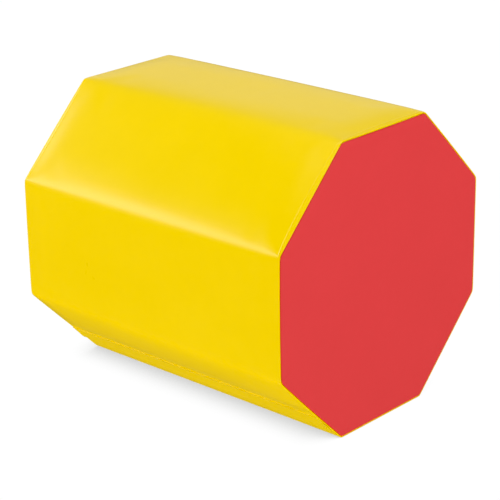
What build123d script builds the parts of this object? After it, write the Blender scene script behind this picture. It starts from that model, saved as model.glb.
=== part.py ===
from build123d import *
import math
import os

# Octagonal foam roller in a zipped cover. Millimetres, +Z up, floor at z = 0.
# The roll axis is Y and the front end is at -Y. The closure lies on the lower
# side facet at -X, under a flap that hangs from a sewn margin.

# --- driving dimensions ---------------------------------------------------
across_flats = 600.0
length = 690.0
edge_radius = 16.0            # outside rounding of the eight long edges
skin = 1.0                    # coated fabric
gap = 0.1                     # clearance between layers that lie on each other
allowance = 10.0              # seam allowance turned in at both ends

# distances up the lower side facet from its bottom edge
flap_free_edge = 51.0
zip_line = 71.0               # centre line of the closure
flap_axis = 89.0              # hinge line of the flap
flap_top = 93.4               # top of the sewn margin
flap_axis_clear = 1.1         # from the hinge line to the sewn margin
flap_thickness = 1.0
flap_end_inset = 0.5

slot_half = 7.5               # half of the opening between the two hems
slot_margin = 4.5             # closed strip between the opening and each end
hem_width = 15.0
hem_fold_clear = 0.4          # from the hem's edge wall to its middle layer

tape_edge = 22.0              # outer edge of a tape from the closure line
tape_thickness = 0.6
chain_half = 4.0
chain_gap = 1.0
chain_thickness = 2.2
chain_end_inset = 5.5         # from the seam allowance to the end of the teeth

thread = 0.4
thread_clear = 0.05           # around a stitch thread in its groove
thread_end_inset = 1.0

slider_length = 20.0
slider_width = 12.6
slider_plate = 1.0
pull_length = 26.0            # from the pin to the rounded tip
pull_width = 6.0
pull_thickness = 1.0
pull_pin_radius = 0.28

overcut = 1.0                 # how far cutting shapes run past what they cut
overlap = 0.3                 # how far slider pieces sink into its plates

# --- derived positions ----------------------------------------------------
end = length / 2
hem_end = end - allowance - 0.5
chain_end = end - allowance - chain_end_inset
tape_half = end - skin - 0.2
flap_half = end - flap_end_inset

# depths below the outer skin, from outside in
fold_out = skin + gap                       # turned allowance of the wrap
fold_in = fold_out + skin
flange_out = fold_in + gap                  # turned allowance of an end panel
flange_in = flange_out + skin

# heights out of the side facet, negative inside the cover
tape_top = -(flange_in + gap)
tape_bottom = tape_top - tape_thickness
tape_mid = (tape_top + tape_bottom) / 2
chain_top = tape_mid + chain_thickness / 2
chain_bottom = tape_mid - chain_thickness / 2
top_plate_low = chain_top + gap
top_plate_high = top_plate_low + slider_plate
low_plate_high = chain_bottom - gap
low_plate_low = low_plate_high - slider_plate
flap_low = gap
flap_high = flap_low + flap_thickness

hem_stitch = zip_line - 12.0
flap_margin_low = flap_axis + flap_axis_clear
flap_stitch = flap_margin_low + 1.4
groove = thread + 2 * thread_clear          # width and depth of a stitch groove

# lower side facet: x climbs the facet, y is the roll axis, z points out of the part
facet = across_flats * math.tan(math.pi / 8)
slope = math.sqrt(0.5)
side = Plane(origin=(-facet / 2, 0, 0), x_dir=(-slope, 0, slope), z_dir=(-slope, 0, -slope))


# --- helpers --------------------------------------------------------------
def octagon(flats, radius):
    corner = flats / 2 / math.cos(math.pi / 8)
    angles = [math.radians(22.5 + 45 * k) for k in range(8)]
    points = [(corner * math.cos(a), corner * math.sin(a)) for a in angles]
    face = make_face(Polyline(*points, close=True))
    return fillet(face.vertices(), radius)


def prism(depth, y0, y1):
    """Octagonal prism whose sides lie `depth` inside the outer skin."""
    face = octagon(across_flats - 2 * depth, edge_radius - depth)
    base = Plane(origin=(0, y0, across_flats / 2), x_dir=(1, 0, 0), z_dir=(0, 1, 0))
    return extrude(base * face, amount=y1 - y0)


def tube(outer_depth, inner_depth, y0, y1):
    """Open octagonal ring between two depths; y0 and y1 in either order."""
    y0, y1 = sorted((y0, y1))
    return prism(outer_depth, y0, y1) - prism(inner_depth, y0 - overcut, y1 + overcut)


def around(centre, half):
    return centre - half, centre + half


def slab(up, along, out):
    """Box from (start, stop) spans up the facet, along the roll and out of the facet."""
    spans = (up, along, out)
    middle = [(a + b) / 2 for a, b in spans]
    size = [abs(b - a) for a, b in spans]
    return side * Pos(*middle) * Box(*size)


def side_plane(up, along, out, x_dir=side.x_dir, z_dir=side.z_dir):
    """Work plane with its origin given in the side facet's own directions."""
    origin = side.from_local_coords(Vector(up, along, out))
    return Plane(origin=origin, x_dir=x_dir, z_dir=z_dir)


def stitch_groove(line, surface, half):
    return slab(around(line, groove / 2), around(0, half), (surface - groove, surface + overcut))


def stitch_thread(line, surface, half):
    heights = (surface - groove + thread_clear, surface - thread_clear)
    return slab(around(line, thread / 2), around(0, half - thread_end_inset), heights)


# --- cover ----------------------------------------------------------------
def hem(direction):
    """Edge of the opening turned under twice; direction 1 is above it, -1 below."""
    edge = zip_line + direction * slot_half

    def strip(near, far, low, high):
        up = (edge + direction * near, edge + direction * far)
        return slab(up, around(0, hem_end), (low, high))

    body = strip(0, skin, -flange_in, -skin / 2)
    body += strip(0, hem_width, -flange_in, -flange_out)
    body += strip(hem_width - skin, hem_width, -flange_in, -fold_out)
    body += strip(skin + hem_fold_clear, hem_width, -fold_in, -fold_out)
    return body


def cover_wrap():
    slot_cut_depth = 6.0
    wrap = tube(0, skin, -end, end)
    for sign in (-1, 1):
        # turned allowance, then the end wall that joins it to the outer skin
        wrap += tube(fold_out, fold_in, sign * end, sign * (end - allowance))
        wrap += tube(skin / 2, fold_in, sign * end, sign * (end - skin))
    wrap -= slab(
        around(zip_line, slot_half), around(0, end - slot_margin), (-slot_cut_depth, overcut)
    )
    wrap += hem(1)
    wrap += hem(-1)
    wrap -= stitch_groove(hem_stitch, 0, hem_end)
    return wrap


def end_panel(sign):
    """Flat panel with its rim turned in; sign -1 is the front, 1 the rear."""
    outer = sorted((sign * end, sign * (end - allowance)))
    hollow = sorted((sign * (end - skin), sign * (end - allowance - overcut)))
    return prism(flange_out, *outer) - prism(flange_in, *hollow)


def seam_thread(sign):
    """Ring of thread inside an end panel's rim, open where the zip tapes pass."""
    inset = 1.4                   # from the end of the roll
    depth = flange_in + 0.15
    tape_clear = 0.5
    cut_depth = 8.0
    y0, y1 = sorted((sign * (end - inset), sign * (end - inset - thread)))
    ring = tube(depth, depth + thread, y0, y1)
    return ring - slab(
        around(zip_line, tape_edge + tape_clear),
        (y0 - overcut, y1 + overcut),
        (-cut_depth, overcut),
    )


# --- foam core ------------------------------------------------------------
def foam_core():
    """Full-size body with reduced ends, relieved behind the hems and the chain."""
    rebate = -tape_bottom + gap
    body_half = end - allowance - 0.7
    core_half = end - skin - gap
    hem_relief_half = slot_half + hem_width + 0.5
    chain_relief_half = 8.0
    chain_relief_floor = low_plate_low - 0.3
    cut_top = 2.0
    core = prism(skin + gap, -body_half, body_half)
    core += prism(rebate, -core_half, core_half)
    core -= slab(around(zip_line, hem_relief_half), around(0, end), (-rebate, cut_top))
    core -= slab(
        around(zip_line, chain_relief_half), around(0, end), (chain_relief_floor, cut_top)
    )
    return core


# --- flap -----------------------------------------------------------------
def zip_flap():
    """Strip over the zip with a round edge along the hinge line."""
    flap = slab((flap_free_edge, flap_axis), around(0, flap_half), (flap_low, flap_high))
    flap_mid = (flap_low + flap_high) / 2
    hinge = side_plane(flap_axis, -flap_half, flap_mid, z_dir=(0, 1, 0))
    flap += extrude(hinge * Circle(flap_thickness / 2), amount=2 * flap_half)
    return flap


def flap_sewn_margin():
    margin = slab((flap_margin_low, flap_top), around(0, flap_half), (flap_low, flap_high))
    return margin - stitch_groove(flap_stitch, flap_high, flap_half + overcut)


# --- zip ------------------------------------------------------------------
def zip_tape(direction):
    """Tape beside the teeth; direction 1 is the upper one, -1 the lower."""
    inner = zip_line + direction * (chain_half + gap / 2)
    outer = zip_line + direction * tape_edge
    return slab((inner, outer), around(0, tape_half), (tape_bottom, tape_top))


def zip_teeth(direction):
    """One side of the chain as a plain bar."""
    inner = zip_line + direction * chain_gap / 2
    outer = zip_line + direction * (chain_half - gap / 2)
    return slab((inner, outer), around(0, chain_end), (chain_bottom, chain_top))


def zip_stop(sign):
    """Block past the end of the teeth, with wings over and under the tapes."""
    chain_clear = 0.2
    stop_length = 3.2
    rise = 0.9                    # above and below the tapes
    wing_half = chain_half + 1.8
    start = chain_end + chain_clear
    along = (sign * start, sign * (start + stop_length))
    top = tape_top + rise
    bottom = tape_bottom - rise
    block = slab(around(zip_line, chain_half - gap), along, (bottom, top))
    block += slab(around(zip_line, wing_half), along, (tape_top + gap, top))
    block += slab(around(zip_line, wing_half), along, (bottom, tape_bottom - gap))
    return block


# --- slider, close to the front stop, with its notched nose to the front ---
slider_front = -(chain_end - 1.0)
slider_rear = slider_front + slider_length
slider_y = slider_front + slider_length / 2

pin_y = slider_y - 5.0
pin_height = top_plate_high + 0.7
lug_inner = 3.4               # lug faces from the closure line
lug_outer = 4.4


def cross_rod(half, radius):
    """Cylinder on the pin's axis, which runs up the facet across the closure line."""
    start = side_plane(
        zip_line - half, pin_y, pin_height, x_dir=(0, 1, 0), z_dir=side.x_dir
    )
    return extrude(start * Circle(radius), amount=2 * half)


def slider_plate_at(low, high):
    w, h = slider_width / 2, slider_length / 2
    # (up the facet, along the roll) from the slider's centre, nose to tail
    upper_half = [
        (1.6, -h), (w - 2.6, -h), (w, -h + 3),
        (w, -h + 9), (w - 1.1, h - 1.2), (w - 2.2, h),
    ]
    lower_half = [(-x, y) for x, y in reversed(upper_half)]
    notch = (0, -h + 1.6)
    outline = make_face(Polyline(notch, *upper_half, *lower_half, close=True))
    return extrude(side_plane(zip_line, slider_y, low) * outline, amount=high - low)


def zip_slider_body():
    wedge_clear = 0.15
    rim_outer = slider_width / 2 - 1.1
    rim_inner = rim_outer - 1.0
    lug_half_length = 1.3
    lug_rise = 0.55               # above the pin's axis

    slider = slider_plate_at(top_plate_low, top_plate_high)
    slider += slider_plate_at(low_plate_low, low_plate_high)
    # wedge that parts the teeth
    slider += slab(
        around(zip_line, chain_gap / 2 - wedge_clear),
        (slider_front + 2.4, slider_front + 9.0),
        (low_plate_low + overlap, top_plate_high - overlap),
    )
    # guide rims that turn towards the tapes
    along = (slider_front + 4.0, slider_rear - 1.5)
    for direction in (-1, 1):
        up = (zip_line + direction * rim_inner, zip_line + direction * rim_outer)
        slider += slab(up, along, (tape_top + gap, top_plate_low + overlap))
        slider += slab(up, along, (low_plate_high - overlap, tape_bottom - gap))
    # two lugs on the top plate carry the pin of the pull
    for direction in (-1, 1):
        slider += slab(
            (zip_line + direction * lug_inner, zip_line + direction * lug_outer),
            around(pin_y, lug_half_length),
            (top_plate_high - overlap, pin_height + lug_rise),
        )
    slider -= cross_rod(lug_outer, pull_pin_radius + 0.02)
    return slider


def zip_pull_tab():
    """Tab lying back over the slider, with a barrel on the pin and two windows."""
    tip_y = pin_y + pull_length - pull_width / 2
    half = pull_thickness / 2
    # half width, start and stop along the roll
    windows = [
        (1.6, pin_y + 15.0, tip_y - 0.5),
        (1.7, pin_y + 3.0, pin_y + 10.0),
    ]
    pull = slab(around(zip_line, pull_width / 2), (pin_y, tip_y), around(pin_height, half))
    tip = side_plane(zip_line, tip_y, pin_height - half)
    pull += extrude(tip * Circle(pull_width / 2), amount=pull_thickness)
    pull += cross_rod(pull_width / 2, half)
    for half_width, y0, y1 in windows:
        pull -= slab(around(zip_line, half_width), (y0, y1), around(pin_height, 2.0))
    pull -= cross_rod(pull_width / 2, pull_pin_radius + 0.04)
    return pull


# --- export ---------------------------------------------------------------
nodes = {
    "foam_core": foam_core(),
    "cover_wrap": cover_wrap(),
    "front_end_panel": end_panel(-1),
    "rear_end_panel": end_panel(1),
    "front_seam_thread": seam_thread(-1),
    "rear_seam_thread": seam_thread(1),
    "zip_flap": zip_flap(),
    "flap_sewn_margin": flap_sewn_margin(),
    "flap_stitch_thread": stitch_thread(flap_stitch, flap_high, flap_half),
    "hem_stitch_thread": stitch_thread(hem_stitch, 0, hem_end),
    "zip_tape_upper": zip_tape(1),
    "zip_tape_lower": zip_tape(-1),
    "zip_teeth_upper": zip_teeth(1),
    "zip_teeth_lower": zip_teeth(-1),
    "zip_stop_front": zip_stop(-1),
    "zip_stop_rear": zip_stop(1),
    "zip_slider_body": zip_slider_body(),
    "zip_pull_pin": cross_rod(lug_outer, pull_pin_radius),
    "zip_pull_tab": zip_pull_tab(),
}

os.makedirs("parts", exist_ok=True)
for name, shape in nodes.items():
    solids = shape.solids()
    part = solids[0] if len(solids) == 1 else Compound(children=list(solids))
    part.label = name
    export_step(part, f"parts/{name}.step")
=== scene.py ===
"""Octagonal foam roller in a soft yellow vinyl cover with red end panels.

It lies on the floor (z = 0) with its axis along y at half its width up, centred on x = 0 and y = 0.
Its front end is at -y. The lower left facet (-x, -z) carries the zip, under a flap that is sewn
along its upper edge and free below.
"""
import math

import bpy
import numpy as np
from mathutils import Matrix, Vector


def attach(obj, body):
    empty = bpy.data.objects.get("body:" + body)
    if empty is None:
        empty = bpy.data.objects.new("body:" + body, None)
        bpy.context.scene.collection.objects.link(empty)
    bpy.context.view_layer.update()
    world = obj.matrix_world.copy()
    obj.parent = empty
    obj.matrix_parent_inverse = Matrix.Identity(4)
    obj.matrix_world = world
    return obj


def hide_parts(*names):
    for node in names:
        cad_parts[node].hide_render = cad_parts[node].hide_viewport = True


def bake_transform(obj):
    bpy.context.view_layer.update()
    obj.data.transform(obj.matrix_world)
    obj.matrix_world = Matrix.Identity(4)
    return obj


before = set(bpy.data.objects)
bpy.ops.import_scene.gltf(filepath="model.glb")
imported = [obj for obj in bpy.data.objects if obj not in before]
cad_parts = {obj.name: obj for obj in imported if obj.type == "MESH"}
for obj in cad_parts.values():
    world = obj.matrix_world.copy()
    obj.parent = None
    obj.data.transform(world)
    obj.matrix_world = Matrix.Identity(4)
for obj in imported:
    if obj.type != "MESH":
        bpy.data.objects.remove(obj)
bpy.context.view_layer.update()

scene = bpy.context.scene

# ---------------------------------------------------------------------------
# Dimensions in millimetres; meshes are written in metres.
# A place on the cover is given as (girth, y, outward). Girth runs round the section from the lower
# edge of the zip facet: lower left, left, upper left, top, upper right, right, lower right, bottom.
# Corner k is the edge where facet k starts.
# ---------------------------------------------------------------------------
WIDTH = 600.0                   # across opposite facets
LENGTH = 690.0
HALF_LEN = LENGTH / 2
APOTHEM = WIDTH / 2
FACET = WIDTH * math.tan(math.pi / 8)
GIRTH = 8 * FACET
AXIS = np.array([0.0, 0.0, APOTHEM])

SIN45 = math.sqrt(0.5)
ZIP_UP = np.array([-SIN45, 0, SIN45])       # up the zip facet
ZIP_OUT = np.array([-SIN45, 0, -SIN45])     # outward from the zip facet

SOFT_MID = 12.5                 # how far an edge's rounding spreads into its facets, at mid length
SOFT_END = 3.0                  # and at the end seams
RISE = 2.2                      # how far the facets stand out at mid length

# girths on the zip facet
FLAP_FREE = 51.0                # free edge of the flap
FLAP_AXIS = 89.0                # line about which the flap lifts
FLAP_STITCH = 91.2
FLAP_TOP = 93.4
ZIP = 71.0
SLOT_LOW = ZIP - 7.5
SLOT_HIGH = ZIP + 7.5


def smooth(x):
    x = np.clip(x, 0.0, 1.0)
    return x * x * (3 - 2 * x)


def fade(value, start, end):
    """Smooth step from 0 at start to 1 at end; start may be the larger."""
    return smooth((value - start) / (end - start))


def bell(x):
    return np.exp(-x * x)


def section(girth, softness):
    """Point (x, z) and outward normal on a soft-edged octagon, seen along the roll axis.

    The surface turns by 22.5 degrees towards each edge, dying out exponentially with distance
    from it. The two edges that carry the weight stay sharper.
    """
    girth = np.mod(np.asarray(girth, float), GIRTH)
    facet = np.minimum(np.floor(girth / FACET), 7)
    across = girth - facet * FACET
    half = FACET / 2
    side = np.where(across < half, -1.0, 1.0)
    corner = np.mod(facet + (side > 0), 8)
    bearing_edge = (corner == 0) | (corner == 7)
    softness = np.where(bearing_edge, np.maximum(0.18 * softness, 1.9), softness)
    turn = math.pi / 8
    reach = half - (math.tan(turn) * (turn - turn**3 / 18) - turn**2 / 4) * softness
    to_corner = (half - np.abs(across - half)) / half * reach
    near, far = np.exp(-to_corner / softness), np.exp(-reach / softness)
    # integrals of the powers of the turning angle; sine and cosine are summed as series
    first, second, third, fourth = [
        turn**p * softness / p * (near**p - far**p) for p in (1, 2, 3, 4)
    ]
    shift = side * ((reach - to_corner) - second / 2 + fourth / 24)
    dip = -(first - third / 6)
    angle = turn * (near - far)
    heading = np.radians(135 - 45 * facet)
    along_x, along_z = np.cos(heading), np.sin(heading)
    out_x, out_z = -np.sin(heading), np.cos(heading)
    x = out_x * (APOTHEM + dip) + along_x * shift
    z = APOTHEM + out_z * (APOTHEM + dip) + along_z * shift
    normal_x = out_x * np.cos(angle) + along_x * side * np.sin(angle)
    normal_z = out_z * np.cos(angle) + along_z * side * np.sin(angle)
    return x, z, normal_x, normal_z


def grid_quads(columns, rows, closed=False):
    """Faces of a grid whose vertices are stored column by column."""
    faces = []
    for i in range(columns if closed else columns - 1):
        this, following = i * rows, (i + 1) % columns * rows
        for r in range(rows - 1):
            faces.append((this + r, following + r, following + r + 1, this + r + 1))
    return faces


# ---------------------------------------------------------------------------
# Cloth simulation of the closed bag; its relief is carried over to the fine meshes
# ---------------------------------------------------------------------------
SIM_COLS = 8 * 24
SIM_ROWS = 60
SIM_RINGS = 14                  # from the rim of an end to its middle
SIM_SOFTNESS = 3.0
SIM_FRAMES = 20
CLOTH_SETTINGS = {
    "quality": 6,
    "mass": 0.35,
    "tension_stiffness": 40,
    "compression_stiffness": 40,
    "shear_stiffness": 12,
    "bending_stiffness": 2.0,
    "tension_damping": 12,
    "compression_damping": 12,
    "shear_damping": 8,
    "air_damping": 3,
    "use_pressure": True,
    "uniform_pressure_force": 4.0,
    "vertex_group_mass": "pin",
    "pin_stiffness": 1.0,
    "shrink_min": -0.006,
}


def catmull(table, column, row):
    """Smooth interpolation of a table at fractional indices; its columns close into a ring."""
    columns, rows = table.shape

    def weights(f):
        return (
            -0.5 * f + f * f - 0.5 * f**3,
            1 - 2.5 * f * f + 1.5 * f**3,
            0.5 * f + 2 * f * f - 1.5 * f**3,
            -0.5 * f * f + 0.5 * f**3,
        )

    column0, row0 = np.floor(column).astype(int), np.floor(row).astype(int)
    column_weights, row_weights = weights(column - column0), weights(row - row0)
    total = 0.0
    for a in range(4):
        i = np.mod(column0 + a - 1, columns)
        for b in range(4):
            j = np.clip(row0 + b - 1, 0, rows - 1)
            total = total + column_weights[a] * row_weights[b] * table[i, j]
    return total


def bag_mesh():
    """The closed bag in mm: points, faces, tube normals, and each end's ring starts and middle."""
    rows = SIM_ROWS + 1
    girth = np.arange(SIM_COLS) * GIRTH / SIM_COLS
    girth, y = np.meshgrid(girth, np.linspace(-HALF_LEN, HALF_LEN, rows), indexing="ij")
    x, z, normal_x, normal_z = section(girth, SIM_SOFTNESS)
    tube = np.stack([x, y, z], -1)
    normal = np.stack([normal_x, 0 * normal_x, normal_z], -1).reshape(-1, 3)
    verts = [tube.reshape(-1, 3)]
    faces = grid_quads(SIM_COLS, rows, closed=True)
    base = SIM_COLS * rows
    ends = []
    for side, row in ((-1, 0), (1, SIM_ROWS)):
        edge = tube[:, row]
        centre = np.array([0.0, side * HALF_LEN, APOTHEM])
        starts = []
        for ring in range(1, SIM_RINGS):
            verts.append(centre + (edge - centre) * (1 - ring / SIM_RINGS))
            starts.append(base)
            base += SIM_COLS
        verts.append(centre[None])
        middle = base
        base += 1
        ends.append((side, starts, middle))
        end_faces = []
        outer = [i * rows + row for i in range(SIM_COLS)]
        for start in starts:
            inner = [start + i for i in range(SIM_COLS)]
            for i in range(SIM_COLS):
                j = (i + 1) % SIM_COLS
                end_faces.append((outer[i], outer[j], inner[j], inner[i]))
            outer = inner
        for i in range(SIM_COLS):
            end_faces.append((outer[i], outer[(i + 1) % SIM_COLS], middle))
        faces += [face[::-1] if side < 0 else face for face in end_faces]
    return np.concatenate(verts), faces, normal, ends


def pin_bag(bag):
    """Hold the end seams fast, the rows beside them less, and the long edges slightly."""
    rows = SIM_ROWS + 1
    pin = bag.vertex_groups.new(name="pin")
    starts = [i * rows for i in range(SIM_COLS)]
    pin.add(starts + [start + SIM_ROWS for start in starts], 1.0, "REPLACE")
    beside = [start + 1 for start in starts] + [start + SIM_ROWS - 1 for start in starts]
    pin.add(beside, 0.35, "REPLACE")
    corners = starts[:: SIM_COLS // 8]
    pin.add([start + r for start in corners for r in range(2, SIM_ROWS - 1)], 0.06, "REPLACE")


def simulate_bag():
    """Inflate the bag: how far its tube and its two ends move outward, in mm."""
    verts, faces, normal, ring_sets = bag_mesh()
    rest = verts / 1000.0
    mesh = bpy.data.meshes.new("bag_sim")
    mesh.from_pydata(rest.tolist(), [], faces)
    mesh.update()
    bag = bpy.data.objects.new("bag_sim", mesh)
    scene.collection.objects.link(bag)
    pin_bag(bag)
    cloth = bag.modifiers.new("Cloth", "CLOTH")
    for setting, value in CLOTH_SETTINGS.items():
        setattr(cloth.settings, setting, value)
    cloth.settings.effector_weights.gravity = 0.0
    cloth.collision_settings.use_collision = False
    cloth.point_cache.frame_start = 1
    cloth.point_cache.frame_end = SIM_FRAMES
    for number in range(1, SIM_FRAMES + 1):
        scene.frame_set(number)
    evaluated = bag.evaluated_get(bpy.context.evaluated_depsgraph_get())
    moved = np.zeros(len(rest) * 3, np.float32)
    evaluated.data.vertices.foreach_get("co", moved)
    move = (moved.reshape(-1, 3).astype(float) - rest) * 1000.0
    scene.frame_set(1)
    relief = (move[: len(normal)] * normal).sum(1).reshape(SIM_COLS, SIM_ROWS + 1)
    ends = []
    for side, starts, middle in ring_sets:
        table = np.zeros((SIM_COLS, SIM_RINGS + 1))
        for ring, start in enumerate(starts, 1):
            table[:, ring] = side * move[start : start + SIM_COLS, 1]
        table[:, SIM_RINGS] = side * move[middle, 1]
        ends.append(table)
    bpy.data.objects.remove(bag)
    bpy.data.meshes.remove(mesh)
    return relief, ends


def box_blur(table, times=1):
    for _ in range(times):
        table = (np.roll(table, 1, 0) + 2 * table + np.roll(table, -1, 0)) / 4
        padded = np.concatenate([table[:, :1], table, table[:, -1:]], 1)
        table = (padded[:, :-2] + 2 * padded[:, 1:-1] + padded[:, 2:]) / 4
    return table


raw_relief, raw_ends = simulate_bag()
mid_rise = float(np.median(raw_relief[:, SIM_ROWS // 2]))
if mid_rise <= 0:
    raise RuntimeError("the bag did not inflate")
# 1 at mid length; the shape is the simulation's, its height is set by RISE
SIM_RELIEF = box_blur(np.clip(raw_relief / mid_rise, -0.2, 1.25))
SIM_RELIEF[:, 0] = SIM_RELIEF[:, -1] = 0.0
END_SWELL = 1.1             # greatest swell of an end before blurring
SIM_ENDS = [
    box_blur(end / max(np.abs(end).max(), 1e-6) * END_SWELL, times=2) for end in raw_ends
]


def sim_relief(girth, y):
    return catmull(
        SIM_RELIEF,
        np.mod(girth, GIRTH) / GIRTH * SIM_COLS,
        np.clip((y + HALF_LEN) / LENGTH, 0, 1) * SIM_ROWS,
    )


# ---------------------------------------------------------------------------
# Shape of the taut cover
# ---------------------------------------------------------------------------
# arch of each facet at mid length and at either end
#                      zip  left up-l  top   up-r right low-r bottom
BULGE_MID = np.array([0.2, 0.5, 0.5, 0.5, 0.5, 0.5, 0.4, 0.0])
BULGE_FRONT = np.array([1.6, 1.6, 0.2, -0.2, 1.2, 0.4, 0.4, 0.0])
BULGE_REAR = np.array([0.8, 1.0, 0.8, 0.6, 0.6, 0.8, 0.8, 0.0])
# height of the ridge beside an end seam, and how far the facet dips towards the seam
RIDGE = np.array([0.28, 0.10, 1.00, 0.40, 0.40, 0.30, 0.30, 0.00])
CROWN = np.array([0.5, 0.5, 0.3, 1.4, 0.8, 0.5, 0.5, 0.0])
# how far each edge is pushed out at mid length, from corner 0 round to corner 0 again
LIFT = np.array([0.0, 4.1, 4.4, 4.8, 6.6, 5.2, 4.2, 0.0, 0.0])

# tension creases from the flap up to an end seam: height, width, path of (girth, from the end)
CREASES = [
    (0.95, 2.6, [(91.5, 92), (95, 70), (108, 40), (128, 2)]),
    (0.75, 2.8, [(60, 100), (68, 70), (82, 38), (101, 2)]),
    (-0.45, 4.0, [(101, 60), (112, 34), (132, 2)]),
    (-0.40, 4.5, [(75, 75), (90, 38), (110, 2)]),
]
CREASE_REACH = 130              # no tension creases further than this from the end
END_GAINS = ((-1, 1.0), (1, 0.7))           # side of the end, strength of its tension creases

wave_random = np.random.default_rng(11)
# half waves along, whole waves round, the phases of both, height
WAVES = [
    (
        wave_random.uniform(1, 3),
        wave_random.integers(2, 9),
        wave_random.uniform(0, 6.3),
        wave_random.uniform(0, 6.3),
        wave_random.uniform(0.3, 1),
    )
    for _ in range(14)
]


def slow_noise(girth, y):
    total = 0.0
    for along, around, around_phase, along_phase, height in WAVES:
        total = total + height * np.sin(
            2 * math.pi * around * girth / GIRTH + around_phase
        ) * np.sin(math.pi * along * (y + HALF_LEN) / LENGTH + along_phase)
    return total / 5.0


def line_ridge(girth, inset, path, width):
    """A crease along a polyline; 1 on the line, fading out at both ends."""
    best = np.zeros(np.broadcast(girth, inset).shape)
    pieces = len(path) - 1
    for i in range(pieces):
        (girth0, inset0), (girth1, inset1) = path[i], path[i + 1]
        run, climb = girth1 - girth0, inset1 - inset0
        share = ((girth - girth0) * run + (inset - inset0) * climb) / (run * run + climb * climb)
        share = np.clip(share, 0, 1)
        distance = np.hypot(girth - girth0 - share * run, inset - inset0 - share * climb)
        progress = (i + share) / pieces
        ends = fade(progress, 0, 0.25) * fade(progress, 1, 0.88)
        best = np.maximum(best, np.exp(-((distance / width) ** 2)) * ends)
    return best


def corner_puckers(girth, inset, first_seed, slope, reach, height, width, start, low_gain=1.0):
    """Three small ridges that run inward from each corner.

    slope: greatest lean either way; reach, height: ranges to draw from; width: at the edge, and
    its growth with inset; start: inset over which they rise; low_gain: for the floor corners.
    """
    total = 0.0
    for corner in range(8):
        offset = np.mod(girth - corner * FACET + GIRTH / 2, GIRTH) - GIRTH / 2
        random = np.random.default_rng(first_seed + corner * 2)
        gain = low_gain if corner in (0, 7) else 1.0
        for _ in range(3):
            lean = random.uniform(-slope, slope)
            length = random.uniform(*reach)
            ridge = bell((offset - lean * inset) / (width[0] + width[1] * inset))
            ridge = ridge * fade(inset, length, 0) * fade(inset, *start)
            total = total + random.uniform(*height) * gain * ridge
    return total


def creases(girth, y):
    """Tension creases from the flap to the end seams, and puckers at the seams' corners."""
    total = 0.0
    for side, gain in END_GAINS:
        inset = HALF_LEN - side * y
        tension = 0.0
        for height, width, path in CREASES:
            tension = tension + height * line_ridge(girth, inset, path, width)
        total = total + gain * np.where(inset < CREASE_REACH, tension, 0.0)
        total = total + corner_puckers(
            girth, inset, first_seed=100 + (side > 0), slope=0.55, reach=(14, 34),
            height=(0.12, 0.34), width=(1.2, 0.10), start=(1, 5), low_gain=0.4,
        )
    return total


def at_zip(girth):
    """1 on the stiff strip with the zip, where the cover keeps its place; 0 well away from it."""
    return fade(girth, 18.0, 42.0) * fade(girth, 150.0, 96.0)


def bearing(girth):
    """1 on the facet that lies on the floor and on the sharp edges beside it."""
    floor_start = 7 * FACET
    return np.maximum(fade(girth, 42.0, 0.0), fade(girth, floor_start - 70.0, floor_start))


def cover_offset(girth, y):
    """How far the cover stands out from the soft-edged octagon."""
    inset = HALF_LEN - np.abs(y)
    girth = np.mod(girth, GIRTH)
    facet = np.minimum((girth / FACET).astype(int), 7)
    across = (girth - (facet + 0.5) * FACET) / (FACET / 2)
    arch = 1 - across * across
    free = 1 - bearing(girth)
    # bulge of each facet, passing from its end value to its value at mid length
    end_bulge = np.where(y < 0, BULGE_FRONT[facet], BULGE_REAR[facet])
    inner = 1 - np.exp(-inset / 60.0)
    out = arch * (end_bulge * (1 - inner) + BULGE_MID[facet] * inner)
    # relief of the simulation
    out = out + free * RISE * sim_relief(girth, y)
    # edges pushed out away from the ends
    out = out + np.interp(girth / FACET, np.arange(9), LIFT) * (1 - np.exp(-inset / 45.0))
    # drop towards the end seam
    crown = CROWN[facet] * np.maximum(0.0, 1 - inset / 46.0) ** 2
    out = out - free * crown * (0.35 + 0.65 * arch)
    # ridge beside the seam and the raised band outside it, weaker at the rear
    reach = 2.2 + 8.2 * np.sqrt(np.maximum(arch, 0))
    ridge = RIDGE[facet] * np.where(y < 0, 1.0, 0.35)
    profile = bell((inset - reach) / 1.7) + 0.22 * fade(inset, reach, reach - 2.0)
    out = out + ridge * profile * fade(inset, 0, 2.0) * fade(arch, 0, 0.06)
    # slow unevenness
    out = out + free * 0.40 * slow_noise(girth, y) * fade(inset, 0, 60.0)
    # the zip strip stays flat, and only creases above the flap cross it
    zip_strip = at_zip(girth)
    out = out * (1 - zip_strip * fade(inset, 3.0, 11.0))
    out = out + free * creases(girth, y) * (1 - zip_strip * fade(girth, 93.5, 91.5))
    return np.where(facet == 7, 0.0, out)


def point(girth, y, outward=0.0):
    """Position on the cover, in millimetres."""
    girth, y, outward = np.broadcast_arrays(
        np.asarray(girth, float), np.asarray(y, float), np.asarray(outward, float)
    )
    inset = HALF_LEN - np.abs(y)
    softness = SOFT_END + (SOFT_MID - SOFT_END) * (1 - np.exp(-np.maximum(inset, 0) / 45.0))
    x, z, normal_x, normal_z = section(girth, softness)
    offset = cover_offset(girth, y) + outward
    return np.stack([x + normal_x * offset, y, z + normal_z * offset], -1)


# ---------------------------------------------------------------------------
# Mesh helpers
# ---------------------------------------------------------------------------
def grid_steps(grid, closed):
    """Differences between neighbours along the first axis."""
    if closed:
        return np.roll(grid, -1, 0) - np.roll(grid, 1, 0)
    step = np.empty_like(grid)
    step[1:-1] = grid[2:] - grid[:-2]
    step[0], step[-1] = grid[1] - grid[0], grid[-1] - grid[-2]
    return step


def grid_normals(grid, closed=False):
    along = grid_steps(grid.swapaxes(0, 1), False).swapaxes(0, 1)
    normal = np.cross(grid_steps(grid, closed), along)
    return normal / np.maximum(np.linalg.norm(normal, axis=-1, keepdims=True), 1e-12)


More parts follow.
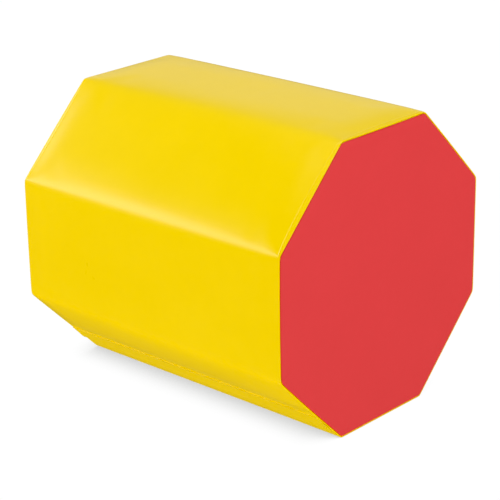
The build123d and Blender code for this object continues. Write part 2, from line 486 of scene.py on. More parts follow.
def make_object(name, verts, faces, uvs, material, smooth_shaded=True):
    """Object from points in mm; uvs, if any, are one per vertex."""
    mesh = bpy.data.meshes.new(name)
    mesh.from_pydata((np.asarray(verts) / 1000.0).tolist(), [], faces)
    mesh.update()
    if uvs is not None:
        layer = mesh.uv_layers.new(name="UVMap")
        index = np.zeros(len(mesh.loops), np.int32)
        mesh.loops.foreach_get("vertex_index", index)
        layer.data.foreach_set("uv", np.asarray(uvs, np.float32)[index].ravel())
    if smooth_shaded:
        mesh.polygons.foreach_set("use_smooth", np.ones(len(mesh.polygons), bool))
    ob = bpy.data.objects.new(name, mesh)
    scene.collection.objects.link(ob)
    mesh.materials.append(material)
    return ob


def roll_in_place_of(ob, *originals):
    """The object moves with the roller and stands in for the named CAD pieces."""
    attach(ob, "roller")
    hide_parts(*originals)


def solid_sheet(outer, inner, uv, closed=False, keep=None, flip=False):
    """Closed sheet between two equal grids; cells where keep is false are left out."""
    columns, rows = outer.shape[:2]
    top = grid_quads(columns, rows, closed)
    if keep is not None:
        top = [face for face, kept in zip(top, keep.ravel()) if kept]
    below = columns * rows
    edges = {}
    for face in top:
        for edge in zip(face, face[1:] + face[:1]):
            edges[edge] = True
    faces = top + [tuple(below + v for v in face[::-1]) for face in top]
    faces += [(q, p, below + p, below + q) for p, q in edges if (q, p) not in edges]
    if flip:
        faces = [face[::-1] for face in faces]
    faces = np.array(faces)
    used, index = np.unique(faces, return_inverse=True)
    verts = np.concatenate([outer.reshape(-1, 3), inner.reshape(-1, 3)])
    uvs = np.concatenate([uv.reshape(-1, 2)] * 2)
    return verts[used], index.reshape(faces.shape), uvs[used]


def rod_faces(count, stations, ring):
    """Faces of equal capped rods, each stored as stations of ring vertices."""
    faces = []
    for rod in range(count):
        base = rod * stations * ring
        for station in range(stations - 1):
            this, following = base + station * ring, base + (station + 1) * ring
            for a in range(ring):
                b = (a + 1) % ring
                faces.append((this + a, following + a, following + b, this + b))
        faces.append(tuple(base + a for a in range(ring)))
        faces.append(tuple(base + (stations - 1) * ring + a for a in range(ring))[::-1])
    return faces


# ---------------------------------------------------------------------------
# Materials
# ---------------------------------------------------------------------------
def scaled(color, factor, offset=0.0):
    """RGBA from an RGB color, each channel scaled and shifted."""
    return tuple(c * factor + offset for c in color) + (1,)


class Shader:
    """A material with an empty node tree. A value is either a constant or an output socket."""

    def __init__(self, name):
        self.material = bpy.data.materials.new(name)
        self.material.use_nodes = True
        self.tree = self.material.node_tree
        self.tree.nodes.clear()

    def feed(self, socket, value):
        if isinstance(value, bpy.types.NodeSocket):
            self.tree.links.new(value, socket)
        else:
            socket.default_value = value

    def add(self, kind, inputs=None, **settings):
        node = self.tree.nodes.new(kind)
        for key, value in settings.items():
            setattr(node, key, value)
        for key, value in (inputs or {}).items():
            self.feed(node.inputs[key], value)
        return node

    def math(self, operation, first, second):
        return self.add("ShaderNodeMath", {0: first, 1: second}, operation=operation).outputs[0]

    def mix(self, factor, first, second):
        """Blend of two colors, which are sockets 6 and 7 of the node."""
        inputs = {0: factor, 6: first, 7: second}
        return self.add("ShaderNodeMix", inputs, data_type="RGBA").outputs[2]


class Surface(Shader):
    """A Principled surface with texture helpers."""

    def __init__(self, name):
        super().__init__(name)
        output = self.add("ShaderNodeOutputMaterial")
        self.bsdf = self.add("ShaderNodeBsdfPrincipled")
        self.feed(output.inputs[0], self.bsdf.outputs[0])
        self.coords = self.add("ShaderNodeTexCoord")

    def finish(self, inputs):
        for key, value in inputs.items():
            self.feed(self.bsdf.inputs[key], value)
        return self.material

    def mapped(self, source, scale=(1, 1, 1)):
        inputs = {"Scale": scale, 0: self.coords.outputs[source]}
        return self.add("ShaderNodeMapping", inputs).outputs[0]

    def noise(self, vector, scale, detail, roughness):
        inputs = {"Scale": scale, "Detail": detail, "Roughness": roughness, "Vector": vector}
        return self.add("ShaderNodeTexNoise", inputs).outputs["Fac"]

    def cells(self, vector, scale):
        inputs = {"Scale": scale, "Randomness": 1.0, "Vector": vector}
        return self.add("ShaderNodeTexVoronoi", inputs).outputs["Distance"]

    def wave(self, vector, direction, scale, distortion, detail):
        inputs = {"Scale": scale, "Distortion": distortion, "Detail": detail, "Vector": vector}
        node = self.add("ShaderNodeTexWave", inputs, bands_direction=direction)
        return node.outputs["Fac"]

    def ramp(self, value, low, high):
        """0 at low, 1 at high."""
        inputs = {"From Min": low, "From Max": high, "Value": value}
        return self.add("ShaderNodeMapRange", inputs).outputs[0]

    def edges(self, low, high):
        """1 on convex edges."""
        geometry = self.add("ShaderNodeNewGeometry")
        return self.ramp(geometry.outputs["Pointiness"], low, high)

    def bump(self, height, strength, distance, under=None):
        inputs = {"Strength": strength, "Distance": distance, "Height": height}
        if under is not None:
            inputs["Normal"] = under
        return self.add("ShaderNodeBump", inputs).outputs[0]


def vinyl(name, color, worn_and_highlight_color, specular, roughness):
    """Coated fabric: pebbled grain over a faint weave, slightly uneven gloss, paler edges that are
    partly wear and partly a painted highlight.
    """
    s = Surface(name)
    uv = s.mapped("UV")
    fine = s.noise(uv, scale=1500.0, detail=3.0, roughness=0.6)
    grain = s.cells(uv, scale=950.0)
    threads = {"scale": 260.0, "distortion": 0.4, "detail": 1.0}
    across = s.wave(uv, "X", **threads)
    along = s.wave(uv, "Y", **threads)
    weave = s.math("MAXIMUM", across, along)
    slow = s.noise(uv, scale=7.0, detail=3.0, roughness=0.5)
    cloud = s.noise(uv, scale=38.0, detail=4.0, roughness=0.6)
    smear = s.noise(uv, scale=60.0, detail=3.0, roughness=0.5)
    edge = s.edges(low=0.535, high=0.60)

    # slightly uneven tone: 60 % slow, 40 % cloud; then a tenth of the paler edge color on the
    # convex edges, partly wear and partly a painted highlight along edges and seam ridges
    tone = s.math("ADD", s.math("MULTIPLY", slow, 0.6), s.math("MULTIPLY", cloud, 0.4))
    base = s.mix(s.ramp(tone, low=0.35, high=0.65), scaled(color, 0.982), scaled(color, 1.008))
    # painted highlight mixed with wear: the convex edges and seam ridges are drawn paler
    wear_and_highlight = s.math("MULTIPLY", edge, s.ramp(slow, low=0.3, high=0.7))
    base = s.mix(s.math("MULTIPLY", wear_and_highlight, 0.10), base, worn_and_highlight_color)

    # roughness varies by 0.02 with each noise and drops by 0.012 on the edges
    smeared = s.math("MULTIPLY", s.ramp(smear, low=0.3, high=0.7), 0.02)
    rough = s.math("ADD", smeared, roughness - 0.012)
    rough = s.math("ADD", rough, s.math("MULTIPLY", s.ramp(slow, low=0.3, high=0.7), 0.02))
    rough = s.math("SUBTRACT", rough, s.math("MULTIPLY", edge, 0.012))

    normal = s.bump(weave, strength=0.02, distance=0.00003)
    normal = s.bump(grain, strength=0.02, distance=0.00004, under=normal)
    normal = s.bump(fine, strength=0.02, distance=0.00003, under=normal)
    normal = s.bump(cloud, strength=0.02, distance=0.0003, under=normal)
    return s.finish({
        "Base Color": base,
        "Roughness": rough,
        "Specular IOR Level": specular,
        "IOR": 1.5,
        "Sheen Weight": 0.02,
        "Sheen Roughness": 0.4,
        "Normal": normal,
    })


def thread_material(name, color):
    """Twisted sewing thread."""
    s = Surface(name)
    place = s.mapped("Object")
    twist = s.wave(place, "DIAGONAL", scale=420.0, distortion=0.6, detail=2.0)
    return s.finish({
        "Base Color": s.mix(twist, scaled(color, 0.72), scaled(color, 1)),
        "Roughness": 0.55,
        "Specular IOR Level": 0.35,
        "Sheen Weight": 0.2,
        "Normal": s.bump(twist, strength=0.5, distance=0.00008),
    })


def woven(name, color):
    """Narrow woven tape with a little fluff."""
    s = Surface(name)
    uv = s.mapped("UV")
    threads = 900.0
    diagonal = s.wave(uv, "DIAGONAL", scale=threads / 6.28, distortion=0.3, detail=1.0)
    along = s.wave(uv, "Y", scale=threads / 3.0, distortion=0.2, detail=1.0)
    weave = s.math("MULTIPLY", diagonal, along)
    fluff = s.noise(uv, scale=2600.0, detail=3.0, roughness=0.6)
    base = s.mix(weave, scaled(color, 0.5), scaled(color, 1))
    fluff_share = s.math("MULTIPLY", s.ramp(fluff, low=0.45, high=0.8), 0.25)
    base = s.mix(fluff_share, base, scaled(color, 2.2, offset=0.02))
    normal = s.bump(weave, strength=0.7, distance=0.00012)
    return s.finish({
        "Base Color": base,
        "Roughness": 0.82,
        "Specular IOR Level": 0.25,
        "Sheen Weight": 0.25,
        "Sheen Roughness": 0.35,
        "Normal": s.bump(fluff, strength=0.3, distance=0.00006, under=normal),
    })


def nylon(name, color):
    """Moulded plastic with a cloudy gloss."""
    s = Surface(name)
    place = s.mapped("Object")
    cloud = s.noise(place, scale=700.0, detail=3.0, roughness=0.5)
    base = s.mix(s.ramp(cloud, low=0.3, high=0.7), scaled(color, 0.7), scaled(color, 1.3))
    rough = s.math("ADD", s.math("MULTIPLY", cloud, 0.2), 0.25)     # from 0.25 to 0.45
    fine = s.noise(place, scale=4000.0, detail=2.0, roughness=0.5)
    return s.finish({
        "Base Color": base,
        "Roughness": rough,
        "Specular IOR Level": 0.5,
        "Normal": s.bump(fine, strength=0.15, distance=0.00003),
    })


def metal(name, color, roughness, edge_color):
    """Scratched metal, paler on its edges."""
    s = Surface(name)
    streaks = s.mapped("Object", scale=(200, 3500, 900))
    scratch = s.noise(streaks, scale=1.0, detail=4.0, roughness=0.7)
    cloud = s.noise(s.coords.outputs["Object"], scale=260.0, detail=3.0, roughness=0.5)
    edge = s.edges(low=0.51, high=0.58)
    base = s.mix(s.ramp(cloud, low=0.3, high=0.7), scaled(color, 0.86), scaled(color, 1))
    base = s.mix(s.math("MULTIPLY", edge, 0.4), base, edge_color)
    # scratches spread the roughness over a range of 0.16
    rough = s.math("ADD", s.math("MULTIPLY", scratch, 0.16), roughness - 0.06)
    return s.finish({
        "Base Color": base,
        "Metallic": 1.0,
        "Roughness": rough,
        "Normal": s.bump(scratch, strength=0.15, distance=0.00003),
    })


def foam_material(name, color):
    """Open-celled foam."""
    s = Surface(name)
    place = s.mapped("Object")
    cells = s.cells(place, scale=520.0)
    cloud = s.noise(place, scale=40.0, detail=4.0, roughness=0.6)
    base = s.mix(cells, scaled(color, 0.75), scaled(color, 1))
    shadow = s.math("MULTIPLY", s.ramp(cloud, low=0.3, high=0.7), 0.2)
    return s.finish({
        "Base Color": s.mix(shadow, base, scaled(color, 0.9)),
        "Roughness": 0.92,
        "Specular IOR Level": 0.2,
        "Normal": s.bump(cells, strength=0.8, distance=0.0005),
    })


YELLOW = vinyl(
    "yellow_vinyl", color=(0.900, 0.640, 0.0010), worn_and_highlight_color=(0.93, 0.72, 0.12, 1),
    specular=0.46, roughness=0.285,
)
RED = vinyl(
    "red_vinyl", color=(0.700, 0.025, 0.057), worn_and_highlight_color=(0.80, 0.16, 0.16, 1),
    specular=0.30, roughness=0.42,
)
THREAD = thread_material("seam_thread", color=(0.90, 0.62, 0.02))
TAPE = woven("zip_tape_cloth", color=(0.035, 0.035, 0.040))
NYLON = nylon("zip_nylon", color=(0.03, 0.03, 0.033))
NICKEL = metal(
    "zip_nickel", color=(0.66, 0.65, 0.62), roughness=0.28, edge_color=(0.86, 0.85, 0.82, 1)
)
FOAM = foam_material("foam", color=(0.62, 0.64, 0.66))

# ---------------------------------------------------------------------------
# Cover wrap: a tube with folded ends, slotted along the zip, with a hem on each side of the slot
# ---------------------------------------------------------------------------
COVER_THICK = 0.9
SEAM_INSET = 1.9                # where the flat of the cover meets the fold at its end
COVER_FOLD = 0.95               # radius of that fold
HEM_R = 1.6                     # radius of the folded edges of the slot
HEM_TAIL = (2, 5, 9, 13)        # columns of the hem's turned-in flat, from the fold
SLOT_END = HALF_LEN - 4.5
COLUMN_GAP = 1.1                # facet columns closer than this to a slot column are left out


def facet_columns():
    """Columns of one facet, dense near its edges."""
    near = list(np.arange(0, 18.1, 1.5)) + [20.5, 23.5, 27.5]
    half = near + list(np.linspace(33, FACET / 2, 15))
    return half + [FACET - column for column in half[-2::-1]]


FACET_COLUMNS = np.array([k * FACET + t for k in range(8) for t in facet_columns()[:-1]])


def wrap_columns():
    slot_columns = [
        SLOT_LOW - HEM_R, SLOT_LOW + 0.4, ZIP, SLOT_HIGH - 0.4, SLOT_HIGH + HEM_R, FLAP_TOP + 1.2
    ]
    columns = [
        column for column in FACET_COLUMNS
        if min(abs(column - other) for other in slot_columns) > COLUMN_GAP
        and not SLOT_LOW - HEM_R < column < SLOT_HIGH + HEM_R
    ]
    return np.array(sorted(columns + slot_columns))


def wrap_rows():
    """Rows (y, depth) from the turned-in front edge over its fold to the same at the rear."""
    fold = [(3.0, 4.4)]         # (distance from the end plane, depth)
    for angle in np.radians([150, 128, 106, 90, 74, 56, 38, 20]):
        inset = SEAM_INSET - COVER_FOLD * math.sin(angle)
        fold.append((inset, COVER_FOLD - COVER_FOLD * math.cos(angle)))
    flat = [1.9, 2.6, 3.3, 4.0]
    flat += list(np.arange(4.5, 16.5, 0.72)) + list(np.arange(17.2, 62, 3.0))
    front = [(-(HALF_LEN - inset), depth) for inset, depth in fold]
    front += [(-(HALF_LEN - inset), 0.0) for inset in flat]
    middle = [(y, 0.0) for y in np.linspace(-(HALF_LEN - 66), HALF_LEN - 66, 84)]
    rear = [(-y, depth) for y, depth in front[::-1]]
    return np.array(front + middle + rear).T


def cover_sheet(girth, outward, y, depth):
    """Outer grid of a sheet of cover, with UVs in metres along its surface."""
    girths, ys = np.meshgrid(girth, y, indexing="ij")
    outer = point(girths, ys, outward[:, None] - depth[None, :])
    along = np.concatenate([[0], np.cumsum(np.hypot(np.diff(y), np.diff(depth)))]) / 1000.0
    around = np.cumsum(np.hypot(np.diff(girth), np.diff(outward)))
    around = np.concatenate([[0], around]) / 1000.0 + girth[0] / 1000.0
    return outer, np.stack(np.meshgrid(around, along, indexing="ij"), -1)


def wrap_tube():
    girth = wrap_columns()
    y, depth = wrap_rows()
    outer, uv = cover_sheet(girth, np.zeros(len(girth)), y, depth)
    inner = outer - grid_normals(outer, closed=True) * COVER_THICK
    cell_y = (y[1:] + y[:-1]) / 2
    cell_girth = (girth + np.roll(girth, -1)) / 2
    in_slot = (cell_girth > SLOT_LOW - HEM_R) & (cell_girth < SLOT_HIGH + HEM_R)
    keep = np.ones((len(girth), len(y) - 1), bool)
    keep[np.ix_(in_slot, np.abs(cell_y) < SLOT_END)] = False
    return solid_sheet(outer, inner, uv, closed=True, keep=keep)


def wrap_hem(side, slot_edge):
    """Fold along the upper (side 1) or lower (side -1) edge of the slot."""
    y = np.linspace(-(SLOT_END - 0.2), SLOT_END - 0.2, 130)
    angles = np.radians(np.linspace(0, 180, 11))
    lip = slot_edge + side * HEM_R
    girth = [lip - side * HEM_R * math.sin(angle) for angle in angles]
    girth = np.array(girth + [lip + side * tail for tail in HEM_TAIL])
    outward = [-HEM_R + HEM_R * math.cos(angle) for angle in angles]
    outward = np.array(outward + [-2 * HEM_R] * len(HEM_TAIL))
    outer, uv = cover_sheet(girth, outward, y, np.zeros(len(y)))
    # the grid normals point up the facet; the outside of a hem faces the slot
    inner = outer + side * grid_normals(outer) * COVER_THICK
    return solid_sheet(outer, inner, uv, flip=side > 0)


def make_wrap():
    verts, faces, uvs, base = [], [], [], 0
    for part in (wrap_tube(), wrap_hem(1, SLOT_HIGH), wrap_hem(-1, SLOT_LOW)):
        verts.append(part[0])
        faces += (part[1] + base).tolist()
        uvs.append(part[2])
        base += len(part[0])
    verts, uvs = np.concatenate(verts), np.concatenate(uvs)
    return make_object("wrap_soft", verts, faces, uvs, YELLOW)


roll_in_place_of(make_wrap(), "cover_wrap")

# ---------------------------------------------------------------------------
# End panels: flat, with a folded rim inside the end of the cover
# ---------------------------------------------------------------------------
PANEL_THICK = 0.8
PANEL_FOLD = 2.4                # radius of the rim's fold
PANEL_INSET, PANEL_DEPTH = 2.1, 5.5     # its centre, from the end plane and from the cover
# rings of the flat of the panel, as a share of its size
PANEL_RINGS = [0.9975, 0.994, 0.99, 0.984, 0.976, 0.965, 0.95, 0.93]
PANEL_RINGS += list(np.linspace(0.905, 0.05, 30))


def panel_swell(share, side, table):
    """How far the flat of the panel stands out at one ring."""
    girth = FACET_COLUMNS
    inset = (1 - share) * APOTHEM
    row = np.full(len(girth), (1 - share) * SIM_RINGS)
    swell = 1.1 * (1 - share * share) ** 0.8
    swell = swell + catmull(table, girth / GIRTH * SIM_COLS, row)
    # shallow valley beside the rim, and fine gathers pointing in from the corners
    swell = swell - 0.22 * np.exp(-(((inset - 11) / 4.0) ** 2))
    return swell + corner_puckers(
        girth, inset, first_seed=300 + (side > 0), slope=0.5, reach=(16, 40),
        height=(0.10, 0.26), width=(1.4, 0.14), start=(0, 3),
    )


def panel(name, side, table):
    outline = point(FACET_COLUMNS, np.full_like(FACET_COLUMNS, side * (HALF_LEN - SEAM_INSET)))
    # from inside the seam, over the fold, to the flat of the panel
    rim = [(5.0, PANEL_DEPTH + 1.4)]
    for angle in np.radians([160, 140, 118, 96, 78, 60, 42, 24, 8]):
        inset = PANEL_INSET - PANEL_FOLD * math.cos(angle)
        rim.append((inset, PANEL_DEPTH - PANEL_FOLD * math.sin(angle)))
    rings = []
    for inset, depth in rim:
        ring = outline * (1 - depth / APOTHEM) + AXIS * (depth / APOTHEM)
        ring[:, 1] = side * (HALF_LEN - inset)
        rings.append(ring)
    flat_edge = outline * (1 - PANEL_DEPTH / APOTHEM) + AXIS * (PANEL_DEPTH / APOTHEM)
    flat_inset = PANEL_INSET - PANEL_FOLD
    for share in PANEL_RINGS:
        ring = AXIS + (flat_edge - AXIS) * share
        ring[:, 1] = side * (HALF_LEN - (flat_inset - panel_swell(share, side, table)))
        rings.append(ring)
    outer = np.stack(rings, 1)
    inner = outer - side * grid_normals(outer, closed=True) * PANEL_THICK

    columns, rows = outer.shape[:2]
    below = columns * rows
    middles = [outer[:, -1].mean(0)[None], inner[:, -1].mean(0)[None]]
    verts = np.concatenate([outer.reshape(-1, 3), inner.reshape(-1, 3)] + middles)
    uv = outer[..., [0, 2]].reshape(-1, 2) / 1000.0
    uvs = np.concatenate([uv, uv, [[0.0, APOTHEM / 1000.0]] * 2])
    faces = []
    for i in range(columns):
        a, b = i * rows, (i + 1) % columns * rows
        for r in range(rows - 1):
            faces.append((a + r, b + r, b + r + 1, a + r + 1))
            faces.append((below + a + r + 1, below + b + r + 1, below + b + r, below + a + r))
        faces.append((a, below + a, below + b, b))
    for i in range(columns):
        a, b = i * rows + rows - 1, (i + 1) % columns * rows + rows - 1
        faces.append((a, b, 2 * below))
        faces.append((below + b, below + a, 2 * below + 1))
    if side < 0:
        faces = [face[::-1] for face in faces]
    return make_object(name, verts, faces, uvs, RED)


for end, side, table in (("front", -1, SIM_ENDS[0]), ("rear", 1, SIM_ENDS[1])):
    roll_in_place_of(panel(f"{end}_panel_soft", side, table), f"{end}_end_panel")

# ---------------------------------------------------------------------------
# Foam core, just inside the cover
# ---------------------------------------------------------------------------
# columns of each facet; those between 50 and 100 are the walls of the steps under the zip
FOAM_COLUMNS = [0, 4, 8, 12, 18, 30, 51.5, 51.6, 62.9, 63.0, 79.0, 79.1, 93.9, 94.0, 124, 160, 200]
FOAM_COLUMNS += [FACET - column for column in (18, 12, 8, 4)]


def make_foam():
    girth = np.array([k * FACET + column for k in range(8) for column in FOAM_COLUMNS])
    y = np.concatenate([
        [-HALF_LEN + 2.4, -HALF_LEN + 6],
        np.arange(-HALF_LEN + 12, HALF_LEN - 12 + 1, 18.5),
        [HALF_LEN - 6, HALF_LEN - 2.4],
    ])
    girth, y = np.meshgrid(girth, y, indexing="ij")
    # depth below the cover: in general, near the ends, under the tapes, under the teeth
    depth = np.full(girth.shape, 1.6)
    depth = np.where(HALF_LEN - np.abs(y) < 11, 5.4, depth)
    depth = np.where((girth > 48) & (girth < 94.05), np.maximum(depth, 4.3), depth)
    depth = np.where((girth >= 62.95) & (girth <= 79.05), 8.2, depth)
    verts = point(girth, y, -depth)
    columns, rows = verts.shape[:2]
    faces = [(a, d, c, b) for a, b, c, d in grid_quads(columns, rows, closed=True)]
    faces.append(tuple(i * rows for i in range(columns)))
    faces.append(tuple(i * rows + rows - 1 for i in range(columns))[::-1])
    verts = verts.reshape(-1, 3)
    return make_object("foam_soft", verts, faces, None, FOAM, smooth_shaded=False)


roll_in_place_of(make_foam(), "foam_core")

# ---------------------------------------------------------------------------
# Flap: one strip, stitched along its upper edge, free below it
# ---------------------------------------------------------------------------
FLAP_THICK = 1.05
FLAP_GAP = 0.12                 # between the cover and the underside of the flap


def flap_profile():
    """Closed outline (girth, outward from the flap's mid plane), starting at the free edge."""
    half = FLAP_THICK / 2
    low, high = FLAP_FREE + half, FLAP_TOP - half
    columns = [low + step for step in (0, 1.2, 2.6, 4.2, 6.0)]
    columns += list(np.arange(FLAP_FREE + 9, FLAP_TOP - 9, 2.2))
    columns += [high - step for step in (7.4, 5.8, 4.6, 3.6, 2.6, 1.6, 0.8, 0)]
    angles = np.radians([60, 30, 0, -30, -60])
    outline = [(column, half) for column in columns]
    outline += [(high + half * math.cos(a), half * math.sin(a)) for a in angles]
    outline += [(column, -half) for column in columns[::-1]]
    outline += [(low - half * math.cos(a), -half * math.sin(a)) for a in angles]
    return np.array(outline)


def make_flap():
    outline = flap_profile()
    y = np.concatenate([
        [-HALF_LEN + 1.2, -HALF_LEN + 1.7],
        np.arange(-HALF_LEN + 2.6, -HALF_LEN + 110, 2.0),
        np.linspace(-HALF_LEN + 112, HALF_LEN - 112, 90),
        np.arange(HALF_LEN - 110, HALF_LEN - 2.5, 2.0),
        [HALF_LEN - 1.7, HALF_LEN - 1.2],
    ])
    girth, y = np.meshgrid(outline[:, 0], y, indexing="ij")
    outward = np.repeat(outline[:, 1][:, None], y.shape[1], 1)
    upper_side = outward > 0
    # the free part lifts off in slow waves, most just in front of mid length
    free = fade(girth, FLAP_AXIS - 2, FLAP_AXIS - 32)
    waves = 0.55 * np.sin(y / 61.0 + 0.6) + 0.40 * np.sin(y / 27.0 + 2.0) + 0.22 * np.sin(y / 11.0)
    lift = free * np.maximum(0.0, 0.85 + 0.30 * waves + 0.45 * bell((y + 60) / 120.0))
    # on the outer side: turned-under free edge, line pressed in by the stitches, rolled top edge
    turned = np.where(upper_side, 0.30 * fade(girth, FLAP_FREE + 9.5, FLAP_FREE + 8.1), 0.0)
    pressed = -0.14 * bell((girth - FLAP_STITCH) / 0.9) * upper_side
    rolled = 0.75 * fade(girth, 91.9, 92.7) * upper_side
    # the sewn margin is drawn into the cover
    base = FLAP_GAP + FLAP_THICK / 2 - 0.42 * fade(girth, 90.6, 91.8)
    swayed = girth + free * (0.35 * np.sin(y / 43.0) + 0.2 * np.sin(y / 17.0 + 1.0))
    verts = point(swayed, y, base + outward + turned + pressed + rolled + lift)
    columns, rows = verts.shape[:2]
    faces = grid_quads(columns, rows, closed=True)
    faces.append(tuple(i * rows for i in range(columns))[::-1])
    faces.append(tuple(i * rows + rows - 1 for i in range(columns)))
    # the underside is shifted by 0.2 in the UV map
    around = girth.ravel() / 1000.0 + (outward.ravel() < 0) * 0.2
    uvs = np.stack([around, y.ravel() / 1000.0 + 0.5], -1)
    verts = verts.reshape(-1, 3)
    return make_object("flap_soft", verts, faces, uvs, YELLOW)


def metres_at(girth, y, outward):
    place = point(np.array([girth]), np.array([y]), np.array([outward]))[0] / 1000.0
    return tuple(float(v) for v in place)


# two points on the lines at girth 90.4 and 86.2 are worked out but not used; the flap is baked in
# place and joins no body
flap = make_flap()
metres_at(90.4, 0, 0.6)
metres_at(86.2, 0, 0.6)
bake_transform(flap)
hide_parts("zip_flap", "flap_sewn_margin")


# ---------------------------------------------------------------------------
# Stitches
# ---------------------------------------------------------------------------
STITCH_PITCH = 4.4
STITCH_RING = 6
# (place along the stitch, thickness), both as shares
STITCH_PROFILE = np.array([
    (-0.5, 0.25), (-0.42, 0.85), (-0.2, 1.0), (0.2, 1.0), (0.42, 0.85), (0.5, 0.25),
])


def stitches(name, girth, outward, stitch_length, radius, end_gap):
    """A row of short sunk stitches as one mesh."""
    start = -HALF_LEN + end_gap
    count = int((HALF_LEN - end_gap - start) / STITCH_PITCH)
    place, thickness = STITCH_PROFILE.T
    centres = start + (np.arange(count) + 0.5) * STITCH_PITCH
    y = centres[:, None] + place * stitch_length
    sunk = -0.22 * (np.abs(place) * 2) ** 3
    spine = point(girth, y, outward + sunk)
    angles = (2 * math.pi * np.arange(STITCH_RING) / STITCH_RING)[:, None]
    ring = np.cos(angles) * ZIP_UP * radius + np.sin(angles) * ZIP_OUT * radius * 0.8
    verts = (spine[:, :, None] + thickness[None, :, None, None] * ring).reshape(-1, 3)
    faces = rod_faces(count, len(STITCH_PROFILE), STITCH_RING)
    return make_object(name, verts, faces, None, THREAD)


roll_in_place_of(
    stitches(
        "flap_stitches", girth=FLAP_STITCH, outward=FLAP_GAP + FLAP_THICK - 0.22,
        stitch_length=3.9, radius=0.27, end_gap=4,
    ),
    "flap_stitch_thread",
)
roll_in_place_of(
    stitches(
        "hem_stitches", girth=59.0, outward=0.02, stitch_length=3.7, radius=0.22, end_gap=12
    ),
    "hem_stitch_thread",
)

# ---------------------------------------------------------------------------
# Zip: soft tapes and separate teeth
# ---------------------------------------------------------------------------
TAPE_NEAR, TAPE_FAR = 4.08, 22  # edges of a tape, from the zip line
TAPE_DEPTH = 3.32
TAPE_THICK = 0.5
TOOTH_PITCH = 2.6
TOOTH_WIDTH = 1.9
TOOTH_DEPTH = 3.6
TOOTH_RING = 8
TEETH_END = HALF_LEN - 15.5 - 1.2
# (distance from the zip line, relative thickness), from the root of a tooth to its tip
TOOTH_PROFILE = np.array([
    (3.92, 0.80), (3.4, 1.0), (1.9, 0.92), (1.25, 1.0), (0.72, 0.92), (0.5, 0.62),
])


def tape(name, low, high):
    girth = np.linspace(low, high, 12)
    y = np.linspace(-HALF_LEN + 1.4, HALF_LEN - 1.4, 150)
    girth, y = np.meshgrid(girth, y, indexing="ij")
    outward = -TAPE_DEPTH - 0.03 * np.sin(y / 9.0) - 0.02 * np.sin(girth * 1.3)
    top = point(girth, y, outward)
    bottom = point(girth, y, outward - TAPE_THICK)
    uv = np.stack([girth / 1000.0, y / 1000.0 + 0.5], -1)
    verts, faces, uvs = solid_sheet(top, bottom, uv, flip=True)
    return make_object(name, verts, faces.tolist(), uvs, TAPE)


def teeth(name, side, phase):
    """A row of teeth above (side 1) or below (side -1) the zip line."""
    count = int(2 * TEETH_END / TOOTH_PITCH)
    y = -TEETH_END + (np.arange(count) + 0.5) * TOOTH_PITCH + phase
    y = y[np.abs(y) < TEETH_END]
    distance, thickness = TOOTH_PROFILE.T
    spine = point(*np.meshgrid(ZIP + side * distance, y), -TOOTH_DEPTH)
    # each ring is a rounded square
    angles = 2 * math.pi * (np.arange(TOOTH_RING) + 0.5) / TOOTH_RING
    ring_y, ring_out = [np.sign(v) * np.abs(v) ** 0.7 for v in (np.cos(angles), np.sin(angles))]
    thickness = thickness[:, None, None]
    along = np.array([0, 1, 0]) * (ring_y[None, :, None] * thickness * TOOTH_WIDTH / 2)
    outward = ZIP_OUT * (ring_out[None, :, None] * (0.82 + 0.18 * thickness))
    verts = (spine[:, :, None] + (along + outward)[None]).reshape(-1, 3)
    faces = rod_faces(len(y), len(TOOTH_PROFILE), TOOTH_RING)
    if side > 0:
        faces = [face[::-1] for face in faces]
    return make_object(name, verts, faces, None, NYLON)


roll_in_place_of(tape("tape_upper_soft", ZIP + TAPE_NEAR, ZIP + TAPE_FAR), "zip_tape_upper")
roll_in_place_of(tape("tape_lower_soft", ZIP - TAPE_FAR, ZIP - TAPE_NEAR), "zip_tape_lower")
roll_in_place_of(teeth("teeth_upper_detail", 1, phase=0.0), "zip_teeth_upper")
roll_in_place_of(teeth("teeth_lower_detail", -1, phase=TOOTH_PITCH / 2), "zip_teeth_lower")

# ---------------------------------------------------------------------------
# CAD pieces: their materials, red vinyl for the rest, and softened edges on the metal
# ---------------------------------------------------------------------------
CAD_MATERIALS = {
    "front_seam_thread": THREAD,
    "rear_seam_thread": THREAD,
    "zip_stop_front": NICKEL,
    "zip_stop_rear": NICKEL,
    "zip_slider_body": NICKEL,
    "zip_pull_pin": NICKEL,
    "zip_pull_tab": NICKEL,
    "foam_core": FOAM,
    "cover_wrap": YELLOW,
    "zip_flap": YELLOW,
    "flap_sewn_margin": YELLOW,
}
BEVELLED = ("zip_slider_body", "zip_pull_tab", "zip_stop_front", "zip_stop_rear")
for name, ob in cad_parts.items():
    ob.data.materials.clear()
    ob.data.materials.append(CAD_MATERIALS.get(name, RED))
    if name in BEVELLED:
        bevel = ob.modifiers.new("soft_edges", "BEVEL")
        bevel.width = 0.00018
        bevel.segments = 2
        bevel.limit_method = "ANGLE"
        bevel.angle_limit = math.radians(40)

# ---------------------------------------------------------------------------
# Stage, in metres: floor, world, lights, camera
# ---------------------------------------------------------------------------
FLOOR_HALF = 60
FLOOR_Z = -0.0006
WHITE = (1.0, 1.0, 1.0, 1)
SEEN_WHITE = 1.015              # brightness of the open floor and the backdrop to the camera
# painted contact shadow, floor brightness near the roller: (share of open sky, brightness)
PAINTED_SHADOW_STOPS = [
    (0.20, 0.585), (0.282, 0.62), (0.358, 0.745), (0.381, 0.775), (0.414, 0.81),
    (0.45, 0.84), (0.533, 0.91), (0.645, 0.962), (0.80, 0.99), (0.90, 1.0),
]


